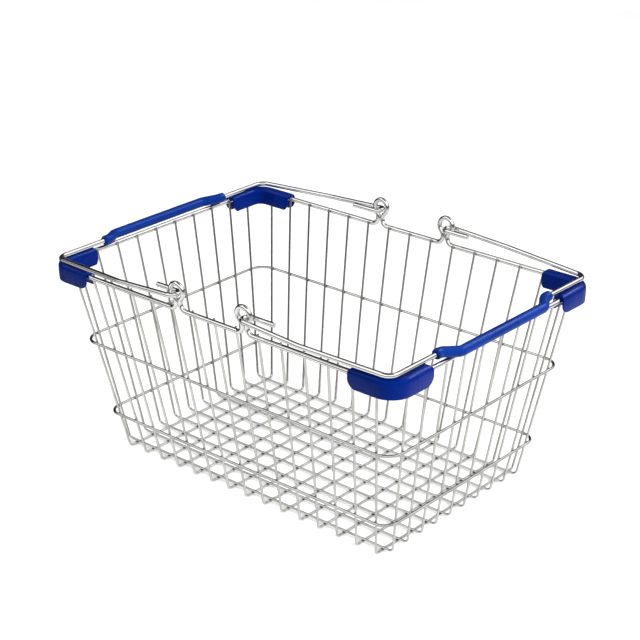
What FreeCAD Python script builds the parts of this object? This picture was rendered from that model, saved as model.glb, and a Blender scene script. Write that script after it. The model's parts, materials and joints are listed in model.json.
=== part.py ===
"""Wire shopping basket with two folding bail handles.

Frame: millimetres, +Z up, +X along the length, +Y along the width.
Origin: on the surface the basket stands on, under the middle of the basket.
Rest pose: both handles folded outwards onto the four corner guards.
"""
import FreeCAD, Part
import math
import os

Vec = FreeCAD.Vector

# ---- driving dimensions -------------------------------------------------------------
# rim: one heavy round wire, bent to a rounded rectangle with four handle rings in it
rim_dia = 4.8
rim_length = 427.0        # centreline, along X
rim_width = 293.3         # centreline, along Y
rim_height = 200.0        # centreline, above the floor
rim_corner = 17.0         # centreline radius of its corners
ring_x = 42.2             # the rings stand this far each side of the middle
ring_radius = 8.0         # centreline radius of a ring
ring_rise = 19.2          # ring centre above the rim centreline, along the leaning wall
ring_foot = 7.5           # centreline radius where a ring's legs flow into the rim
ring_lean = 5.0           # degrees a ring leans outwards

# mesh: light wires, each bent to a U from one wall, under the bottom, to the other wall
mesh_dia = 2.3
mesh_bend = 5.5           # centreline radius of the bottom bends
mesh_end = 2.0            # a wire's cut end stands this far above the rim centreline
mesh_end_round = 0.35     # the cut ends are tumbled smooth
weld_sink = 0.05          # two welded wires sink this far into each other
cross_count = 15          # wires across the width, lowest in the bottom
cross_pitch_floor = 23.28
cross_pitch_rim = 27.4
cross_half_floor = 107.0  # half width between the two bottom bends, to the sharp corner
long_count = 10           # wires along the length, laid on the cross wires
long_pitch_floor = 21.53
long_pitch_rim = 27.23
long_half_floor = 174.5

# hoops: two medium wires welded round the outside of the uprights
hoop_dia = 2.8
hoops = {"upper_hoop": (119.8, 18.0), "lower_hoop": (39.2, 15.0)}    # height, corner

# corner guards: plastic channels pushed down over the rim corners
guard_leg = 48.0          # from the sharp rim corner to the end of a leg
guard_top = 5.9           # top face above the rim centreline
guard_drop = 12.8         # outer skirt's lower edge below the rim centreline
guard_inner_drop = 11.0   # inner skirt's lower edge below the rim centreline
guard_out = 5.0           # outer face outside the rim centreline, at rim height
guard_in = 7.1            # inner face inside the rim centreline, at rim height
guard_wall = 1.8
guard_lean = 0.03         # run of the outer skirt per unit of its drop
guard_inner_lean = 0.18   # the inner skirt follows the leaning uprights
guard_end_radius = 9.0    # lower corners at the ends of the legs
guard_edge = 5.5          # rounding of the top edges
guard_end_edge = 4.0      # upper corners at the ends of the legs
guard_soft = 0.6          # rounding of the skirts' lower edges and the channel's corners
bead_size = 0.8           # snap bead inside the outer skirt, just under the rim
bead_nose = 0.3           # rounding of the bead
bead_foot = 0.05          # rounding where the bead leaves the skirt

# handles: heavy wire, hooked through two rings each
handle_dia = 4.8
hook_half = 6.0           # half the width of a hook's U turn, centreline
hook_shift = 0.45         # a hook's middle lies this far outside its ring
tail_length = 32.0        # cut tail of a hook, from its turn
tail_round = 0.7
elbow = (113.0, 8.3, 12.0)    # arm's widest point: x, outside rim line, above rim line
corner_out = 0.3          # arm outside the rim line where it turns into the crossbar
crossbar_x = 210.0
crossbar_rise = 8.6       # above the rim centreline, lying on the guards
grip_x = 219.8            # the middle of the crossbar is set out for the hand
grip_rise = 6.8
jog_inner = 63.0          # half length of the set-out part
jog_outer = 78.5          # half length between the outer ends of the slants
elbow_bend = 60.0
corner_bend = 10.0
jog_bend = 9.0

# grips: soft plastic sleeves on the crossbars
grip_dia = 10.0
grip_half = 86.0          # half length, along Y
grip_gap = 0.03           # between the sleeve and the wire
grip_end_radius = 1.5

rim_r = rim_dia / 2
mesh_r = mesh_dia / 2
hoop_r = hoop_dia / 2
handle_r = handle_dia / 2
half_length = rim_length / 2
half_width = rim_width / 2


# ---- geometry helpers ---------------------------------------------------------------
def rounded_edges(points, radii, closed=False):
    """Straight edges through the points, with a tangent arc of each radius at its corner."""
    count = len(points)
    corners = range(count) if closed else range(1, count - 1)
    starts = {}
    ends = {}
    arcs = {}
    for i in corners:
        corner = points[i]
        before = (points[i - 1] - corner).normalize()
        after = (points[(i + 1) % count] - corner).normalize()
        half_angle = before.getAngle(after) / 2
        run = radii[i] / math.tan(half_angle)
        middle = (before + after).normalize()
        reach = radii[i] / math.sin(half_angle) - radii[i]
        starts[i] = corner + before * run
        ends[i] = corner + after * run
        arcs[i] = Part.Arc(starts[i], corner + middle * reach, ends[i]).toShape()
    edges = []
    for i in range(count if closed else count - 1):
        j = (i + 1) % count
        first = ends.get(i, points[i])
        last = starts.get(j, points[j])
        if (last - first).Length > 0.001:
            edges.append(Part.LineSegment(first, last).toShape())
        if j in arcs:
            edges.append(arcs[j])
    return edges


def round_wire(edges, radius):
    """Solid round wire along a smooth path of joined edges."""
    path = Part.Wire(edges)
    start = path.OrderedEdges[0]
    point = start.valueAt(start.FirstParameter)
    tangent = start.tangentAt(start.FirstParameter)
    if (point - path.OrderedVertexes[0].Point).Length > 0.001:
        point = start.valueAt(start.LastParameter)
        tangent = start.tangentAt(start.LastParameter)
    section = Part.Wire(Part.Circle(point, tangent, radius).toShape())
    sweep = Part.BRepOffsetAPI.MakePipeShell(path)
    sweep.add(section)
    sweep.build()
    sweep.makeSolid()
    solid = Part.Solid(sweep.shape())
    wanted = math.pi * radius ** 2 * path.Length
    if not solid.isValid() or abs(abs(solid.Volume) / wanted - 1) > 0.01:
        raise ValueError("a wire did not sweep to its own volume")
    return solid


def soft_ends(wire, radius, size):
    """Round the sharp edges of an open wire's two cut ends."""
    length = 2 * math.pi * radius
    ends = [face for face in wire.Faces
            if face.Surface.TypeId == "Part::GeomPlane" and abs(face.Length - length) < 0.01]
    return wire.makeFillet(size, [face.OuterWire.Edges[0] for face in ends]).Solids[0]


def spread(count, pitch):
    """Evenly spaced places about the middle."""
    return [(i - (count - 1) / 2) * pitch for i in range(count)]


def save(name, shape):
    shape.exportStep("parts/" + name + ".step")


# ---- rim ----------------------------------------------------------------------------
def ring_edges(x, side):
    """One ring, from its foot at the lower x to its foot at the higher x."""
    lean = math.radians(ring_lean)
    up = Vec(0, side * math.sin(lean), math.cos(lean))
    foot = Vec(x, side * half_width, rim_height)
    spacing = math.sqrt((ring_radius + ring_foot) ** 2 - (ring_rise - ring_foot) ** 2)

    def at(dx, rise):
        return foot + Vec(dx, 0, 0) + up * rise

    def arc(cx, cz, radius, start, end):
        angles = [math.radians(a) for a in (start, (start + end) / 2, end)]
        points = [at(cx + radius * math.cos(a), cz + radius * math.sin(a)) for a in angles]
        return Part.Arc(*points).toShape()

    meet = math.degrees(math.atan2(ring_rise - ring_foot, spacing))
    return [
        arc(-spacing, ring_foot, ring_foot, -90, meet),
        arc(0, ring_rise, ring_radius, 180 + meet, 90),
        arc(0, ring_rise, ring_radius, 90, -meet),
        arc(spacing, ring_foot, ring_foot, 180 - meet, 270),
    ], spacing


def make_rim():
    edges = []
    for side in (-1, 1):
        last = Vec(-half_length + rim_corner, side * half_width, rim_height)
        for x in (-ring_x, ring_x):
            ring, spacing = ring_edges(x, side)
            foot = Vec(x - spacing, side * half_width, rim_height)
            edges.append(Part.LineSegment(last, foot).toShape())
            edges += ring
            last = Vec(x + spacing, side * half_width, rim_height)
        end = Vec(half_length - rim_corner, side * half_width, rim_height)
        edges.append(Part.LineSegment(last, end).toShape())
    diagonal = rim_corner * (1 - math.sqrt(0.5))
    for end in (-1, 1):
        x = end * half_length
        straight = half_width - rim_corner
        edges.append(Part.LineSegment(Vec(x, -straight, rim_height),
                                      Vec(x, straight, rim_height)).toShape())
        for side in (-1, 1):
            middle = Vec(x - end * diagonal, side * (half_width - diagonal), rim_height)
            edges.append(Part.Arc(Vec(x, side * straight, rim_height), middle,
                                  Vec(x - end * rim_corner, side * half_width,
                                      rim_height)).toShape())
    return round_wire(Part.__sortEdges__(edges), rim_r)


# ---- mesh ---------------------------------------------------------------------------
cross_z = mesh_r
long_z = mesh_r + mesh_dia - weld_sink


def upright_half(half_floor, half_rim, floor_z, z):
    """Half distance between the centrelines of two facing uprights, at a height."""
    lean = (half_rim - half_floor) / (rim_height - floor_z)
    touch = (rim_r + mesh_r - weld_sink) * math.sqrt(1 + lean ** 2)
    lean = (half_rim - touch - half_floor) / (rim_height - floor_z)
    return half_floor + lean * (z - floor_z)


def make_u_wire(along_y, floor_place, rim_place):
    """One mesh wire: up one wall, across the bottom and up the facing wall."""
    floor_z = cross_z if along_y else long_z
    half_floor = cross_half_floor if along_y else long_half_floor
    half_rim = half_width if along_y else half_length
    top = rim_height + mesh_end
    top_half = upright_half(half_floor, half_rim, floor_z, top)
    top_place = floor_place + (rim_place - floor_place) * (top - floor_z) / (
        rim_height - floor_z)
    profile = [(top_place, -top_half, top), (floor_place, -half_floor, floor_z),
               (floor_place, half_floor, floor_z), (top_place, top_half, top)]
    if along_y:
        points = [Vec(place, half, z) for place, half, z in profile]
    else:
        points = [Vec(half, place, z) for place, half, z in profile]
    wire = round_wire(rounded_edges(points, [0, mesh_bend, mesh_bend, 0]), mesh_r)
    return soft_ends(wire, mesh_r, mesh_end_round)


def make_hoop(z, corner):
    """One closed hoop that touches the outside of every upright."""
    halves = []
    for half_floor, half_rim, floor_z in ((long_half_floor, half_length, long_z),
                                          (cross_half_floor, half_width, cross_z)):
        lean = (half_rim - half_floor) / (rim_height - floor_z)
        touch = (mesh_r + hoop_r - weld_sink) * math.sqrt(1 + lean ** 2)
        halves.append(upright_half(half_floor, half_rim, floor_z, z) + touch)
    x, y = halves
    corners = [Vec(0, -y, z), Vec(x, -y, z), Vec(x, y, z), Vec(-x, y, z),
               Vec(-x, -y, z), Vec(0, -y, z)]
    edges = rounded_edges(corners, [0] + [corner] * 4 + [0])
    return round_wire(edges, hoop_r)


# ---- corner guards ------------------------------------------------------------------
def guard_section(outward, origin):
    """Closed section of the channel, square to the rim. Its places are (outward, up)."""
    top = guard_top
    drop = guard_drop
    shift = guard_lean * drop
    inner_drop = guard_inner_drop
    inner_shift = guard_inner_lean * inner_drop
    inside_out = guard_out - guard_wall
    inside_in = guard_in - guard_wall
    ceiling = rim_r + weld_sink
    bead_z = -rim_r - bead_size
    bead_top = bead_z + bead_size
    bead_low = bead_z - bead_size
    corners = [
        (guard_out, top, guard_edge),
        (guard_out - shift, -drop, guard_soft),
        (inside_out - shift, -drop, guard_soft),
        (inside_out + guard_lean * bead_low, bead_low, bead_foot),
        (inside_out + guard_lean * bead_z - bead_size, bead_z, bead_nose),
        (inside_out + guard_lean * bead_top, bead_top, bead_foot),
        (inside_out, ceiling, guard_soft),
        (-inside_in, ceiling, guard_soft),
        (-inside_in - inner_shift, -inner_drop, guard_soft),
        (-guard_in - inner_shift, -inner_drop, guard_soft),
        (-guard_in, top, guard_edge),
    ]
    points = [origin + outward * n + Vec(0, 0, z) for n, z, r in corners]
    radii = [r for n, z, r in corners]
    return Part.Face(Part.Wire(rounded_edges(points, radii, closed=True)))


def round_off(shell, corner, radius, inward):
    """Round the straight edge of a leg's end face that stands at this height and end.

    corner is the end face's place in the plan, inward points from the edge to the
    material in height (+1 for a lower edge, -1 for an upper one).
    """
    reach = rim_length
    low = min(corner.z, corner.z + inward * radius)
    centre_z = corner.z + inward * radius
    for size, start, axis, centre in (
            ((radius, reach, radius), Vec(0, -reach / 2, 0), Vec(0, 1, 0), Vec(radius, -reach / 2, 0)),
            ((reach, radius, radius), Vec(-reach / 2, 0, 0), Vec(1, 0, 0), Vec(-reach / 2, radius, 0))):
        block = Part.makeBox(*size, Vec(corner.x, corner.y, low) + start)
        keep = Part.makeCylinder(radius, reach, Vec(corner.x, corner.y, centre_z) + centre, axis)
        shell = shell.cut(block.cut(keep))
    return shell


def make_guard(end, side):
    """Channel along both legs of one rim corner, made at the corner and joined."""
    turn = Vec(half_length - rim_corner, half_width - rim_corner, rim_height)
    leg = guard_leg - rim_corner
    at_x_leg = guard_section(Vec(0, 1, 0), turn + Vec(0, rim_corner, 0))
    at_y_leg = guard_section(Vec(1, 0, 0), turn + Vec(rim_corner, 0, 0))
    shell = at_x_leg.revolve(turn, Vec(0, 0, -1), 90)
    shell = shell.fuse([at_x_leg.extrude(Vec(-leg, 0, 0)), at_y_leg.extrude(Vec(0, -leg, 0))])
    shell = shell.removeSplitter()
    leg_ends = Vec(turn.x - leg, turn.y - leg, 0)
    lower_edge = leg_ends + Vec(0, 0, rim_height - guard_drop)
    upper_edge = leg_ends + Vec(0, 0, rim_height + guard_top)
    shell = round_off(shell, lower_edge, guard_end_radius, 1)
    shell = round_off(shell, upper_edge, guard_end_edge, -1)
    if end < 0:
        shell = shell.mirror(Vec(0, 0, 0), Vec(1, 0, 0))
    if side < 0:
        shell = shell.mirror(Vec(0, 0, 0), Vec(0, 1, 0))
    return shell.Solids[0]


# ---- handles ------------------------------------------------------------------------
hinge_rise = (ring_rise - ring_radius + rim_r + handle_r) * math.cos(math.radians(ring_lean))
hinge_z = rim_height + hinge_rise + weld_sink
hook_y = half_width + hinge_rise * math.tan(math.radians(ring_lean)) + hook_shift


def handle_side(side):
    """Corner points and bends of one arm, from its tail to the crossbar's jog."""
    arm_x, arm_out, arm_rise = elbow
    return [
        (Vec(ring_x + tail_length, side * (hook_y - hook_half), hinge_z), 0),
        (Vec(ring_x, side * (hook_y - hook_half), hinge_z), hook_half),
        (Vec(ring_x, side * (hook_y + hook_half), hinge_z), hook_half),
        (Vec(arm_x, side * (half_width + arm_out), rim_height + arm_rise), elbow_bend),
        (Vec(crossbar_x, side * (half_width + corner_out), rim_height + crossbar_rise),
         corner_bend),
        (Vec(crossbar_x, side * jog_outer, rim_height + crossbar_rise), jog_bend),
        (Vec(grip_x, side * jog_inner, rim_height + grip_rise), jog_bend),
    ]


def turned_to(shape, end):
    """The handles are alike; the one at the -X end is the other one's mirror image."""
    return shape if end > 0 else shape.mirror(Vec(0, 0, 0), Vec(1, 0, 0))


def make_handle(end):
    route = handle_side(-1) + handle_side(1)[::-1]
    edges = rounded_edges([point for point, bend in route], [bend for point, bend in route])
    wire = soft_ends(round_wire(edges, handle_r), handle_r, tail_round)
    return turned_to(wire, end).Solids[0]


def make_grip(end):
    """Sleeve over the crossbar, with softened end edges and the wire's own bore."""
    bar_z = rim_height + crossbar_rise
    points = [Vec(crossbar_x, -grip_half, bar_z), Vec(crossbar_x, -jog_outer, bar_z),
              Vec(grip_x, -jog_inner, rim_height + grip_rise),
              Vec(grip_x, jog_inner, rim_height + grip_rise),
              Vec(crossbar_x, jog_outer, bar_z), Vec(crossbar_x, grip_half, bar_z)]
    edges = rounded_edges(points, [0] + [jog_bend] * 4 + [0])
    sleeve = round_wire(edges, grip_dia / 2)
    rims = [e for e in sleeve.Edges if abs(abs(e.CenterOfMass.y) - grip_half) < 0.01]
    sleeve = sleeve.makeFillet(grip_end_radius, rims)
    bore = round_wire(edges, handle_r + grip_gap)
    return turned_to(sleeve.cut(bore), end).Solids[0]


# ---- all pieces ---------------------------------------------------------------------
os.makedirs("parts", exist_ok=True)

save("rim_wire", make_rim())

cross_places = zip(spread(cross_count, cross_pitch_floor), spread(cross_count, cross_pitch_rim))
for number, (floor_x, rim_x) in enumerate(cross_places, 1):
    save("cross_wire_%02d" % number, make_u_wire(True, floor_x, rim_x))

long_places = zip(spread(long_count, long_pitch_floor), spread(long_count, long_pitch_rim))
for number, (floor_y, rim_y) in enumerate(long_places, 1):
    save("long_wire_%02d" % number, make_u_wire(False, floor_y, rim_y))

for name, (height, corner) in hoops.items():
    save(name, make_hoop(height, corner))

for end, end_name in ((-1, "left"), (1, "right")):
    for side, side_name in ((-1, "front"), (1, "back")):
        save("guard_%s_%s" % (side_name, end_name), make_guard(end, side))
    save(end_name + "_handle_wire", make_handle(end))
    save(end_name + "_grip", make_grip(end))

print("hinge height %.2f, hinge x %.2f" % (hinge_z, ring_x))
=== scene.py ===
"""Wire shopping basket: bright chrome wires, blue corner guards and blue grips.

Metres, +Z up, +X along the basket. It stands on z = 0, handles folded out at rest.
"""
import json
import math
import random

import bpy
from mathutils import Matrix, Vector

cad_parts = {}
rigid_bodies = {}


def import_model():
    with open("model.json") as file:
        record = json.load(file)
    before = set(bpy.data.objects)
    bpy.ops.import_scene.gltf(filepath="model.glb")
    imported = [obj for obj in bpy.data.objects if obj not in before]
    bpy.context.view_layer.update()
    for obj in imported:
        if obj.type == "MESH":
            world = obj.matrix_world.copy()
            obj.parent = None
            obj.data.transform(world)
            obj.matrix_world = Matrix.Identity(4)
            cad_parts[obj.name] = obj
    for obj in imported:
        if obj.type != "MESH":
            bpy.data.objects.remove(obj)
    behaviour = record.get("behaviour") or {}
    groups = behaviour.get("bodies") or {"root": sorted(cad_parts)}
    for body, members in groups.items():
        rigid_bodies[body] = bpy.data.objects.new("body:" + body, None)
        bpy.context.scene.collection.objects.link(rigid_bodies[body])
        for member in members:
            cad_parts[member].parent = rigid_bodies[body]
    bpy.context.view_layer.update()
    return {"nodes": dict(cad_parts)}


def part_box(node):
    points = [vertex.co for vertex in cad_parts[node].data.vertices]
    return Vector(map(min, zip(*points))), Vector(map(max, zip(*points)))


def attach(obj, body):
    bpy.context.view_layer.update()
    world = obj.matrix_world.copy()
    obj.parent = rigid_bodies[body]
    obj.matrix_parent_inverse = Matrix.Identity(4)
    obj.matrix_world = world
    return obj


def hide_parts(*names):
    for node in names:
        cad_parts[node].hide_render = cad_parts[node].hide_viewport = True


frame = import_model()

MM = 0.001


# ---- rim wire ---------------------------------------------------------------------------
# One heavy drawn steel wire is bent to a rounded rectangle, with four rings turned up out
# of it for the handles. It is plated bright chrome with all that is welded to it: a mirror
# with a faint haze, fine draw marks and a few handling scuffs.
heavy_wire = 4.8 * MM
rim_height = 200.0 * MM      # up to the wire's centreline, as are the half sizes
guard_low, guard_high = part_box("guard_back_right")
guard_out = 5.0 * MM         # from the rim's line out to a guard's outer face
half_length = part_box("rim_wire")[1].x - heavy_wire / 2
half_width = guard_high.y - guard_out


class Finish:
    """A node material being put together, with its Principled shader at hand."""

    def __init__(self, name, color, metallic, roughness, specular=0.5):
        self.material = bpy.data.materials.new(name)
        self.material.use_nodes = True
        self.nodes = self.material.node_tree.nodes
        self.shader = self.nodes["Principled BSDF"]
        self.set(**{"Base Color": (*color, 1), "Metallic": metallic,
                    "Roughness": roughness, "Specular IOR Level": specular})
        self.place = self.add("ShaderNodeTexCoord").outputs["Object"]

    def set(self, **values):
        for socket, value in values.items():
            self.shader.inputs[socket].default_value = value

    def add(self, kind, inputs=None, **settings):
        node = self.nodes.new(kind)
        for name, value in settings.items():
            setattr(node, name, value)
        for name, value in (inputs or {}).items():
            self.feed(node.inputs[name], value)
        return node

    def feed(self, socket, value):
        if isinstance(value, bpy.types.NodeSocket):
            self.material.node_tree.links.new(value, socket)
        else:
            socket.default_value = value

    def noise(self, per_metre, detail=2.0, stretch=(1, 1, 1)):
        """Noise of that many features a metre, drawn out by the stretch."""
        mapped = self.add("ShaderNodeMapping", {"Vector": self.place, "Scale": stretch})
        return self.add("ShaderNodeTexNoise", {
            "Vector": mapped.outputs["Vector"],
            "Scale": per_metre, "Detail": detail}).outputs["Fac"]

    def between(self, pattern, low, high, start=0.35, end=0.65):
        """Turn a pattern into a value from low to high."""
        return self.add("ShaderNodeMapRange", {
            "Value": pattern, "From Min": start, "From Max": end,
            "To Min": low, "To Max": high}).outputs["Result"]

    def tint(self, pattern, dark, light, start=0.35, end=0.65):
        """Turn a pattern into a colour between two tones."""
        ramp = self.add("ShaderNodeValToRGB", {"Fac": pattern})
        ramp.color_ramp.elements[0].position = start
        ramp.color_ramp.elements[0].color = (*dark, 1)
        ramp.color_ramp.elements[1].position = end
        ramp.color_ramp.elements[1].color = (*light, 1)
        return ramp.outputs["Color"]

    def added(self, first, second):
        """The sum of two values."""
        node = self.add("ShaderNodeMath", operation="ADD")
        self.feed(node.inputs[0], first)
        self.feed(node.inputs[1], second)
        return node.outputs["Value"]

    def relief(self, pattern, depth):
        """Bump of that many metres from the pattern."""
        bump = self.add("ShaderNodeBump", {"Height": pattern, "Distance": depth,
                                           "Strength": 1.0})
        self.feed(self.shader.inputs["Normal"], bump.outputs["Normal"])


def plated(name, dark, light, polish, haze):
    """Chrome plate: tone and haze vary over centimetres, scuffs over a millimetre."""
    chrome = Finish(name, light, 1.0, polish)
    clouding = chrome.noise(38, 4)
    scuffs = chrome.noise(900, 3, (1, 1, 0.25))
    draw_marks = chrome.noise(1500, 2)
    chrome.feed(chrome.shader.inputs["Base Color"], chrome.tint(clouding, dark, light))
    dulled = chrome.between(clouding, haze, polish)
    scuffed = chrome.between(scuffs, 0.0, 0.09, 0.62, 0.74)
    chrome.feed(chrome.shader.inputs["Roughness"], chrome.added(dulled, scuffed))
    chrome.relief(draw_marks, 0.004 * MM)
    return chrome.material


def finish_nodes(names, material):
    for name in names:
        for slot in frame["nodes"][name].material_slots:
            slot.material = material


heavy_chrome = plated("chrome_on_heavy_wire", dark=(0.80, 0.795, 0.78),
                      light=(0.93, 0.925, 0.91), polish=0.08, haze=0.14)
finish_nodes(["rim_wire"], heavy_chrome)


# ---- mesh wires -------------------------------------------------------------------------
# Fifteen light wires cross the basket and ten lie over them lengthwise. Each is one drawn
# wire bent to a U: flat along the bottom, its two uprights leaning out to the rim's inside.
light_wire = 2.3 * MM
half_floor_width = 107.0 * MM     # centrelines, where the uprights leave the bottom
half_floor_length = 174.5 * MM
cross_wires = ["cross_wire_%02d" % number for number in range(1, 16)]
long_wires = ["long_wire_%02d" % number for number in range(1, 11)]
# the thin wires' chrome is a darker copy of the rim's same plate: painted shade for their
# greyer look
light_chrome_painted_shade = plated("chrome_on_light_wire_painted_shade", dark=(0.63, 0.625, 0.60),
                      light=(0.77, 0.765, 0.74), polish=0.13, haze=0.21)
finish_nodes(cross_wires + long_wires, light_chrome_painted_shade)


# ---- hoops ------------------------------------------------------------------------------
# Two hoops of slightly thicker drawn wire are bent to rounded rectangles and welded round
# the outside of the uprights, which keeps the tall walls from spreading.
hoop_heights = {"upper_hoop": 119.8 * MM, "lower_hoop": 39.2 * MM}
finish_nodes(hoop_heights, light_chrome_painted_shade)


# ---- weld nuggets -----------------------------------------------------------------------
# Each crossing is spot welded: the wires melt together and a little collar of metal is
# squeezed out round the contact. The plate is thin and dull there, and the nuggets are
# coloured near black as painted shade for the dark where the wires cross.
# near-black plate colour: painted shade at the crossings, over a plate that is also duller
# there
weld_metal_painted_shade = plated("plated_weld_painted_shade", dark=(0.008, 0.008, 0.0075),
                    light=(0.035, 0.034, 0.033), polish=0.28, haze=0.45)
weld_sink = 0.05 * MM        # how far two welded wires sink into each other


def deselect():
    if bpy.context.mode != "OBJECT":
        bpy.ops.object.mode_set(mode="OBJECT")
    bpy.ops.object.select_all(action="DESELECT")


def settle(piece):
    """Put the piece's place into its mesh, so that its object sits at the origin."""
    deselect()
    piece.select_set(True)
    bpy.context.view_layer.objects.active = piece
    bpy.ops.object.transform_apply(location=True, rotation=True, scale=True)


def select_where(test, kind="VERT"):
    """In edit mode, select just the vertices, edges or faces that pass the test.

    It is given a vertex's place, an edge's two ends, or a face's middle and normal.
    """
    mesh = bpy.context.edit_object.data
    bpy.ops.mesh.select_all(action="DESELECT")
    bpy.ops.mesh.select_mode(type=kind)
    bpy.ops.object.mode_set(mode="OBJECT")
    points = mesh.vertices
    if kind == "VERT":
        for item in points:
            item.select = test(item.co)
    elif kind == "EDGE":
        for item in mesh.edges:
            item.select = test(*[points[index].co for index in item.vertices])
    else:
        for item in mesh.polygons:
            item.select = test(item.center, item.normal)
    bpy.ops.object.mode_set(mode="EDIT")


def joined(pieces, name):
    deselect()
    for piece in pieces:
        piece.select_set(True)
    bpy.context.view_layer.objects.active = pieces[0]
    bpy.ops.object.join()
    pieces[0].name = name
    pieces[0].data.name = name
    settle(pieces[0])
    return pieces[0]


def placed_copy(pattern, matrix):
    """A copy with its own mesh, laid at the matrix."""
    copy = pattern.copy()
    copy.data = pattern.data.copy()
    bpy.context.scene.collection.objects.link(copy)
    copy.matrix_world = matrix
    return copy


# one nugget, 1 m across and along Z, drawn in at its poles and a little at four sides
deselect()
bpy.ops.mesh.primitive_uv_sphere_add(segments=8, ring_count=6, radius=0.5)
nugget = bpy.context.object
bpy.ops.object.mode_set(mode="EDIT")
select_where(lambda co: abs(co.z) > 0.2)
bpy.ops.transform.resize(value=(0.9, 0.9, 0.72))
select_where(lambda co: abs(co.z) < 0.1 and abs(abs(co.x) - abs(co.y)) < 0.05)
bpy.ops.transform.resize(value=(0.93, 0.93, 1.0))
bpy.ops.mesh.select_all(action="DESELECT")
bpy.ops.object.mode_set(mode="OBJECT")
bpy.ops.object.shade_smooth()
nugget.data.materials.append(weld_metal_painted_shade)

random.seed(7)


def weld_nuggets(name, contacts, across, thick):
    """One piece from a nugget at each contact: (place, direction from wire to wire)."""
    nuggets = []
    for place, toward in contacts:
        turn = Vector((0, 0, 1)).rotation_difference(Vector(toward)).to_matrix().to_4x4()
        spin = Matrix.Rotation(random.uniform(0, math.pi), 4, "Z")
        width = across * random.uniform(0.92, 1.12)
        size = Matrix.Diagonal((width, width * random.uniform(0.9, 1.05),
                                thick * random.uniform(0.9, 1.1), 1))
        nuggets.append(placed_copy(nugget, Matrix.Translation(place) @ turn @ spin @ size))
    piece = joined(nuggets, name)
    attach(piece, "basket")


def floor_and_tip(node, axis):
    """A wire's centreline in the bottom and at its upright tips, along X (0) or Y (1)."""
    low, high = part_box(node)
    return sorted((low[axis] + light_wire / 2, high[axis] - light_wire / 2), key=abs)


tip_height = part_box(cross_wires[0])[1].z
cross_places = [floor_and_tip(node, 0) for node in cross_wires]
long_places = [floor_and_tip(node, 1) for node in long_wires]
cross_level = light_wire / 2                      # centreline heights in the bottom
long_level = light_wire * 1.5 - weld_sink


def upright(places, half_floor, half_rim, level, height):
    """Where an upright's centreline is at a height: (along its wall, out from the middle)."""
    near, far = places
    rise = (height - level) / (tip_height - level)
    lean = (half_rim - half_floor) / (rim_height - level)
    touch = (heavy_wire / 2 + light_wire / 2 - weld_sink) * math.hypot(1, lean)
    lean = (half_rim - touch - half_floor) / (rim_height - level)
    return near + (far - near) * rise, half_floor + lean * (height - level)


def wall_contacts(height):
    """The contacts on the outside of the uprights, round all four walls at a height."""
    contacts = []
    out = light_wire / 2 - weld_sink / 2
    for places in cross_places:
        x, y = upright(places, half_floor_width, half_width, cross_level, height)
        contacts += [((x, side * (y + out), height), (0, side, 0)) for side in (-1, 1)]
    for places in long_places:
        y, x = upright(places, half_floor_length, half_length, long_level, height)
        contacts += [((side * (x + out), y, height), (side, 0, 0)) for side in (-1, 1)]
    return contacts


contact_height = light_wire - weld_sink / 2
bottom_contacts = [((cross[0], long[0], contact_height), (0, 0, 1))
                   for cross in cross_places for long in long_places]
weld_nuggets("bottom_welds", bottom_contacts, across=4.0 * MM, thick=1.4 * MM)
weld_nuggets("rim_welds", wall_contacts(rim_height), across=3.2 * MM, thick=1.0 * MM)
for hoop, height in hoop_heights.items():
    weld_nuggets(hoop + "_welds", wall_contacts(height), across=3.5 * MM, thick=1.2 * MM)
bpy.data.objects.remove(nugget)


# ---- corner guards ----------------------------------------------------------------------
# A moulded channel of blue plastic is pushed down over each rim corner. It is smooth and
# glossy, thick on top, with a snap bead inside and a gate scar low on the corner.
guard_wall = 1.8 * MM
guard_in = 7.1 * MM          # from the rim's line in to the inner skirt's face
rim_corner = 17.0 * MM       # the rim wire's own bend
skirt_rise = 1.8 * MM        # the inner skirt is this much shorter than the outer one
outer_lean = 0.38 * MM       # how far each skirt's lower edge leans in
inner_lean = 1.98 * MM
crown = 5.5 * MM             # rounding of the top edges
ceiling = rim_height + heavy_wire / 2 + weld_sink
bead_drops = (2.4 * MM, 3.2 * MM, 4.0 * MM)       # the snap bead's edges, below the rim's line
bead_depth = 0.8 * MM
lower_round = 9.0 * MM       # the legs' ends in side view
upper_round = 4.0 * MM
turn_centre = Vector((half_length - rim_corner, half_width - rim_corner, 0))
inner_y = half_width - guard_in
channel = (inner_y + guard_wall, guard_high.y - guard_wall)
tiny = 0.02 * MM


def moulded(name, dark, light, roughness, grain):
    """Moulded plastic: slight colour drift, faint flow marks, fine scratches and dust."""
    plastic = Finish(name, light, 0.0, roughness, 0.22)
    plastic.set(**{"Specular Tint": (0.06, 0.2, 1.0, 1)})
    drift = plastic.noise(30, 3)
    scratches = plastic.noise(420, 4, (1, 1, 6))
    dust = plastic.noise(2600, 2)
    mix = plastic.add("ShaderNodeMix", data_type="RGBA")
    plastic.feed(mix.inputs["Factor"], plastic.between(dust, 0.0, 0.32, 0.76, 0.80))
    plastic.feed(mix.inputs["A"], plastic.tint(drift, dark, light, 0.3, 0.7))
    mix.inputs["B"].default_value = (0.35, 0.42, 0.70, 1)
    plastic.feed(plastic.shader.inputs["Base Color"], mix.outputs["Result"])
    worn = plastic.between(scratches, 0.0, 0.12, 0.58, 0.72)
    sheen = plastic.between(drift, roughness - 0.04, roughness + 0.05)
    plastic.feed(plastic.shader.inputs["Roughness"], plastic.added(sheen, worn))
    plastic.relief(plastic.noise(grain, 3), 0.02 * MM)
    return plastic.material


def cut(place, normal, where=None, **options):
    """Cut the mesh, or the faces that pass the test, along a plane."""
    if where:
        select_where(where, "FACE")
    else:
        bpy.ops.mesh.select_mode(type="FACE")
        bpy.ops.mesh.select_all(action="SELECT")
    bpy.ops.mesh.bisect(plane_co=place, plane_no=normal, threshold=1e-6, **options)


def face_outwards():
    bpy.ops.mesh.select_all(action="SELECT")
    bpy.ops.mesh.normals_make_consistent(inside=False)


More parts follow.
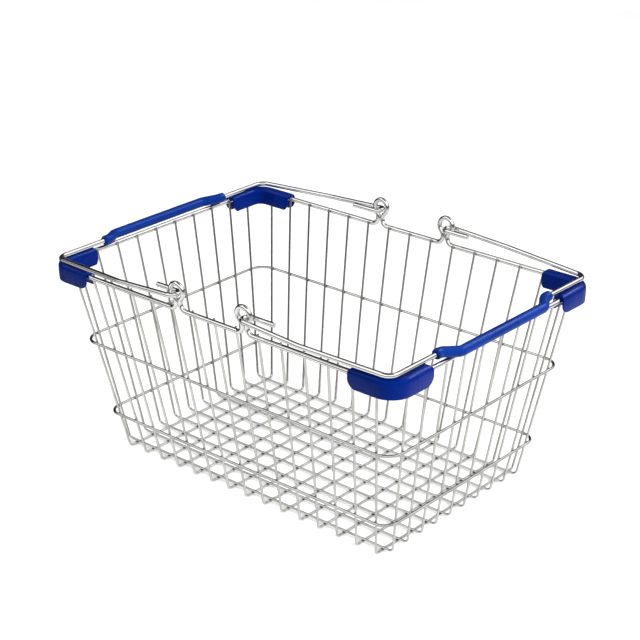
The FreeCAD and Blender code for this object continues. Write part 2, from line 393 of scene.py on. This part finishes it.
# the section, standing across the rim where its corner begins
deselect()
section_width = guard_high.y - inner_y
section_height = guard_high.z - guard_low.z
bpy.ops.mesh.primitive_plane_add(size=1, location=(
    turn_centre.x, inner_y + section_width / 2, guard_low.z + section_height / 2))
guard = bpy.context.object
guard.rotation_euler = (0, math.pi / 2, 0)
guard.scale = (section_height, section_width, 1)
settle(guard)
bpy.ops.object.mode_set(mode="EDIT")
select_where(lambda co: co.z > guard_high.z - tiny)
bpy.ops.mesh.bevel(offset=crown, segments=8, affect="VERTICES", profile=0.5)
for y in channel:
    cut((0, y, 0), (0, 1, 0))
cut((0, 0, ceiling), (0, 0, 1))
select_where(lambda middle, normal: channel[0] < middle.y < channel[1]
             and middle.z < ceiling, "FACE")
bpy.ops.mesh.delete(type="FACE")

# the snap bead on the outer skirt, then the lean of both skirts
for drop in bead_drops:
    cut((0, 0, rim_height - drop), (0, 0, 1),
        lambda middle, normal: middle.y > channel[1] and middle.z < ceiling)
select_where(lambda co: abs(co.y - channel[1]) < tiny
             and abs(co.z - rim_height + bead_drops[1]) < tiny)
bpy.ops.transform.translate(value=(0, -bead_depth, 0))
select_where(lambda co: co.z < guard_low.z + tiny and co.y > channel[1] - tiny)
bpy.ops.transform.translate(value=(0, -outer_lean, 0))
select_where(lambda co: co.z < guard_low.z + tiny and co.y < channel[0] + tiny)
bpy.ops.transform.translate(value=(0, -inner_lean, skirt_rise))

# round the corner, then out along both legs
bpy.ops.mesh.select_all(action="SELECT")
bpy.ops.mesh.spin(steps=14, angle=math.pi / 2, center=turn_centre, axis=(0, 0, 1))
leg = turn_centre.x - guard_low.x
select_where(lambda middle, normal: abs(middle.x - turn_centre.x) < tiny
             and middle.y > turn_centre.y, "FACE")
bpy.ops.mesh.extrude_region_move(TRANSFORM_OT_translate={"value": (-leg, 0, 0)})
select_where(lambda middle, normal: abs(middle.y - turn_centre.y) < tiny
             and middle.x > turn_centre.x, "FACE")
bpy.ops.mesh.extrude_region_move(TRANSFORM_OT_translate={"value": (0, -leg, 0)})
bpy.ops.mesh.select_all(action="SELECT")
bpy.ops.mesh.remove_doubles(threshold=1e-6)
bpy.ops.mesh.select_all(action="DESELECT")
bpy.ops.mesh.select_interior_faces()
bpy.ops.mesh.delete(type="FACE")
face_outwards()

# the legs' ends are rounded by short cuts, the lower corners more than the upper ones
for radius, edge, sign, cuts in ((lower_round, guard_low.z, -1, 9),
                                 (upper_round, guard_high.z, 1, 6)):
    for step in range(cuts):
        angle = (step + 0.5) / cuts * math.pi / 2
        back, up = math.cos(angle), sign * math.sin(angle)
        height = edge - sign * radius + radius * up
        for place, normal in (
                ((guard_low.x + radius - radius * back, 0, height), (-back, 0, up)),
                ((0, guard_low.y + radius - radius * back, height), (0, -back, up))):
            cut(place, normal, clear_outer=True, use_fill=True)
bpy.ops.mesh.select_all(action="SELECT")
bpy.ops.mesh.remove_doubles(threshold=2e-6)
bpy.ops.mesh.dissolve_degenerate(threshold=2e-6)
face_outwards()
bpy.ops.object.mode_set(mode="OBJECT")


def soften(piece, width, segments=3, angle=40):
    """Round the sharp edges, as a mould does, and shade the rest smooth."""
    deselect()
    piece.select_set(True)
    bpy.context.view_layer.objects.active = piece
    bevel = piece.modifiers.new("soft_edges", "BEVEL")
    bevel.width = width
    bevel.segments = segments
    bevel.limit_method = "ANGLE"
    bevel.angle_limit = math.radians(angle)
    bevel.harden_normals = False
    bpy.ops.object.modifier_apply(modifier=bevel.name)
    bpy.ops.object.shade_smooth_by_angle(angle=math.radians(35))


def mirrored(pattern, name, end, side=1):
    """The pattern's copy at another end or side, with its faces turned outwards again."""
    copy = placed_copy(pattern, Matrix.Diagonal((end, side, 1, 1)))
    copy.name = name
    settle(copy)
    bpy.ops.object.mode_set(mode="EDIT")
    face_outwards()
    bpy.ops.object.mode_set(mode="OBJECT")
    return copy


soften(guard, 0.45 * MM)

# the gate scar, a low ground-off disc on the middle of the corner, sunk a little in the wall
scar_out = rim_corner + guard_out - outer_lean - 0.08 * MM
scar_height = guard_low.z + 1.7 * MM
deselect()
bpy.ops.mesh.primitive_cylinder_add(vertices=20, radius=0.8 * MM, depth=0.5 * MM)
scar = bpy.context.object
bpy.ops.object.mode_set(mode="EDIT")
select_where(lambda middle, normal: normal.z > 0.9, "FACE")
bpy.ops.mesh.inset(thickness=0.2 * MM, depth=0.0)
bpy.ops.mesh.inset(thickness=0.15 * MM, depth=-0.12 * MM)
bpy.ops.object.mode_set(mode="OBJECT")
scar.matrix_world = (Matrix.Translation(turn_centre) @ Matrix.Rotation(math.pi / 4, 4, "Z")
                     @ Matrix.Translation((scar_out, 0, scar_height))
                     @ Matrix.Rotation(math.pi / 2, 4, "Y"))
soften(scar, 0.08 * MM, 2)
guard = joined([guard, scar], "guard_shell")
guard.data.materials.clear()
guard.data.materials.append(moulded("blue_guard_plastic", dark=(0.0002, 0.006, 0.080),
                                    light=(0.0006, 0.010, 0.118), roughness=0.26, grain=700))

for end, end_name in ((-1, "left"), (1, "right")):
    for side, side_name in ((-1, "front"), (1, "back")):
        corner = "guard_%s_%s" % (side_name, end_name)
        shell = mirrored(guard, "moulded_" + corner, end, side)
        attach(shell, "basket")
        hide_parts(corner)
bpy.data.objects.remove(guard)


# ---- handles ----------------------------------------------------------------------------
# Each handle is one heavy wire bent to a U, plated before it is fitted. Its ends are closed
# to hooks round two of the rim's rings, with the cut tails lying beside the arms.
finish_nodes(["left_handle_wire", "right_handle_wire"], heavy_chrome)


# ---- grips ------------------------------------------------------------------------------
# A soft sleeve of blue plastic is pushed along each handle's crossbar and takes the bar's
# bends. It is an extruded tube with rounded ends and a satin skin.
grip_low, grip_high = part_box("right_grip")
grip_radius = 5.0 * MM
bore_gap = 0.03 * MM         # between the wire and the sleeve
bar_bend = 9.0 * MM          # radius of the crossbar's bends
bar_x = 210.0 * MM           # the crossbar outside the part that the hand holds
bar_z = grip_high.z - grip_radius
held_x = grip_high.x - grip_radius                # and inside it
held_z = grip_low.z + grip_radius
bar_y = 78.5 * MM            # where the bar starts to step out
held_y = 63.0 * MM           # and has stepped out
route = [Vector((bar_x, grip_low.y, bar_z)), Vector((bar_x, -bar_y, bar_z)),
         Vector((held_x, -held_y, held_z)), Vector((held_x, held_y, held_z)),
         Vector((bar_x, bar_y, bar_z)), Vector((bar_x, grip_high.y, bar_z))]
pieces_before = [2, 1, 14, 2]                     # lengths before each bend

deselect()
bpy.ops.mesh.primitive_circle_add(vertices=28, radius=grip_radius, fill_type="NOTHING",
                                  location=route[0], rotation=(math.pi / 2, 0, 0))
grip = bpy.context.object
settle(grip)
bpy.ops.object.mode_set(mode="EDIT")
bpy.ops.mesh.select_mode(type="VERT")
bpy.ops.mesh.select_all(action="SELECT")


def run_on(start, end, pieces):
    """Carry the tube's open end straight on from start to end, in equal lengths."""
    for length in range(pieces):
        bpy.ops.mesh.extrude_region_move(
            TRANSFORM_OT_translate={"value": (end - start) / pieces})


here = route[0]
for last, corner, following, pieces in zip(route, route[1:], route[2:], pieces_before):
    before = (last - corner).normalized()
    after = (following - corner).normalized()
    turned = math.pi - before.angle(after)
    reach = bar_bend * math.tan(turned / 2)
    run_on(here, corner + before * reach, pieces)
    hub = corner + (before + after).normalized() * (bar_bend / math.cos(turned / 2))
    bpy.ops.mesh.spin(steps=7, angle=turned, center=hub, axis=before.cross(after))
    here = corner + after * reach
run_on(here, route[-1], 2)
bpy.ops.mesh.select_all(action="SELECT")
bpy.ops.mesh.remove_doubles(threshold=1e-6)
face_outwards()
bpy.ops.object.mode_set(mode="OBJECT")
wall = grip.modifiers.new("wall", "SOLIDIFY")
wall.thickness = grip_radius - heavy_wire / 2 - bore_gap
wall.offset = -1
bpy.ops.object.modifier_apply(modifier=wall.name)

# both ends' outer edges are rounded
bpy.ops.object.mode_set(mode="EDIT")
for end_y in (grip_low.y, grip_high.y):
    end_middle = Vector((bar_x, end_y, bar_z))
    select_where(lambda *ends: all(abs(co.y - end_y) < tiny
                                   and (co - end_middle).length > grip_radius - tiny
                                   for co in ends), "EDGE")
    bpy.ops.mesh.bevel(offset=1.5 * MM, segments=5, profile=0.5)
face_outwards()
bpy.ops.object.mode_set(mode="OBJECT")
soften(grip, 0.15 * MM, 2, 60)
grip.data.materials.clear()
grip.data.materials.append(moulded("blue_grip_plastic", dark=(0.001, 0.014, 0.12),
                                   light=(0.003, 0.022, 0.16), roughness=0.32, grain=900))

for end, end_name in ((-1, "left"), (1, "right")):
    sleeve = mirrored(grip, end_name + "_grip_sleeve", end)
    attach(sleeve, end_name + "_handle")
    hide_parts(end_name + "_grip")
bpy.data.objects.remove(grip)


# ---- studio -----------------------------------------------------------------------------
# The basket stands on a pale matt table under soft lamps, with white all round. The chrome
# mirrors a bright table and bright screens with a thin dark gap between them at its own
# level, a dark ceiling, and an unlit room to the back left.
floor_paint = Finish("white_floor", (0.93, 0.93, 0.93), 0.0, 0.6, 0.2)
floor_paint.feed(floor_paint.shader.inputs["Base Color"],
                 floor_paint.tint(floor_paint.noise(3, 2),
                                  (0.925, 0.925, 0.925), (0.945, 0.945, 0.945)))
deselect()
bpy.ops.mesh.primitive_circle_add(vertices=96, radius=2.0, fill_type="NGON")
floor = bpy.context.object
floor.name = "floor"
floor.data.materials.append(floor_paint.material)
floor.visible_glossy = False

# a white dome is all that shows past the floor
dome_glow = Finish("white_dome", (0, 0, 0), 0.0, 0.5)
dome_glow.set(**{"Emission Color": (1, 1, 1, 1), "Emission Strength": 1.0})
deselect()
bpy.ops.mesh.primitive_uv_sphere_add(segments=48, ring_count=24, radius=6.5)
dome = bpy.context.object
dome.name = "backdrop"
dome.data.materials.append(dome_glow.material)
dome.visible_glossy = False
dome.visible_diffuse = False
dome.visible_shadow = False

world = bpy.data.worlds.new("room")
bpy.context.scene.world = world
world.use_nodes = True
room = world.node_tree


def room_node(kind, inputs, **settings):
    node = room.nodes.new(kind)
    for name, value in settings.items():
        setattr(node, name, value)
    for name, value in inputs.items():
        if isinstance(value, bpy.types.NodeSocket):
            room.links.new(value, node.inputs[name])
        else:
            node.inputs[name].default_value = value
    return node


def by_height(stops):
    """Brightness from straight down (-90 degrees) past the horizon to straight up."""
    ramp_node = room_node("ShaderNodeValToRGB", {"Fac": climb.outputs["Result"]})
    ramp = ramp_node.color_ramp
    while len(ramp.elements) < len(stops):
        ramp.elements.new(0.5)
    for element, (degrees, shade) in zip(ramp.elements, stops):
        element.position = (math.sin(math.radians(degrees)) + 1) / 2
        element.color = (shade, shade, shade, 1)
    return ramp_node.outputs["Color"]


direction = room_node("ShaderNodeTexCoord", {}).outputs["Generated"]
parts = room_node("ShaderNodeSeparateXYZ", {"Vector": direction})
climb = room_node("ShaderNodeMapRange", {"Value": parts.outputs["Z"], "From Min": -1.0})
lit_room = by_height([(-90, 0.75), (-34, 1.0), (-13, 0.58), (-5, 0.22), (0, 0.05),
                      (12, 0.05), (20, 1.25), (58, 1.25), (66, 0.03), (90, 0.02)])
unlit_room = by_height([(-90, 0.50), (-60, 0.30), (-25, 0.12), (0, 0.03), (90, 0.02)])
toward = room_node("ShaderNodeVectorMath", {}, operation="DOT_PRODUCT")
room.links.new(direction, toward.inputs[0])
toward.inputs[1].default_value = (-0.87, 0.5, 0)     # the back left
unlit = room_node("ShaderNodeMapRange", {"Value": toward.outputs["Value"],
                                         "From Min": 0.40, "From Max": 0.56})
whole_room = room_node("ShaderNodeMix", {"Factor": unlit.outputs["Result"]},
                       data_type="RGBA")
room.links.new(lit_room, whole_room.inputs["A"])
room.links.new(unlit_room, whole_room.inputs["B"])
background = room.nodes["Background"]
room.links.new(whole_room.outputs["Result"], background.inputs["Color"])
background.inputs["Strength"].default_value = 1.0


def softbox(name, place, target, size, watts, lit_only=None):
    """A soft lamp that chrome doesn't mirror, or one for the plastic pieces alone."""
    lamp = bpy.data.lights.new(name, "AREA")
    lamp.shape = "RECTANGLE"
    lamp.size, lamp.size_y = size
    lamp.energy = watts
    holder = bpy.data.objects.new(name, lamp)
    holder.location = place
    aim = Vector(target) - Vector(place)
    holder.rotation_euler = aim.to_track_quat("-Z", "Y").to_euler()
    holder.visible_glossy = lit_only is not None
    if lit_only:
        holder.light_linking.receiver_collection = lit_only
    bpy.context.scene.collection.objects.link(holder)


softbox("overhead_softbox", (-0.7, 0.8, 3.0), (-0.7, 0.8, 0.0), (6.5, 6.5), 66)
softbox("left_softbox", (-1.7, -0.8, 2.0), (0.1, 0, 0.2), (1.0, 1.5), 20)
softbox("right_softbox", (2.0, -0.1, 1.0), (0.1, 0, 0.15), (0.9, 0.9), 58)
# two strips give the plastic its soft highlights and leave the chrome alone
plastic_pieces = bpy.data.collections.new("plastic_pieces")
for piece in bpy.data.objects:
    if piece.name.startswith("moulded_guard_") or piece.name.endswith("_grip_sleeve"):
        plastic_pieces.objects.link(piece)
softbox("left_strip", (-1.7, -0.8, 2.0), (0.1, 0, 0.2), (0.4, 1.5), 22, plastic_pieces)
softbox("back_strip", (0.8, 1.7, 1.75), (0.1, 0, 0.2), (1.5, 0.4), 22, plastic_pieces)

# a long lens from the front right, looking a little down over the rim
camera = bpy.data.cameras.new("camera")
camera.lens = 97.84
camera.sensor_width = 36.0
camera.clip_start = 0.05
camera_stand = bpy.data.objects.new("camera", camera)
bpy.context.scene.collection.objects.link(camera_stand)
camera_stand.location = (1.02945, -1.17125, 0.83562)
azimuth, elevation, roll = (math.radians(angle) for angle in (41.24, 23.65, -0.30))
camera_stand.rotation_euler = (Matrix.Rotation(azimuth, 3, "Z")
                               @ Matrix.Rotation(math.pi / 2 - elevation, 3, "X")
                               @ Matrix.Rotation(roll, 3, "Z")).to_euler()
bpy.context.scene.camera = camera_stand
bpy.context.scene.view_settings.view_transform = "Standard"
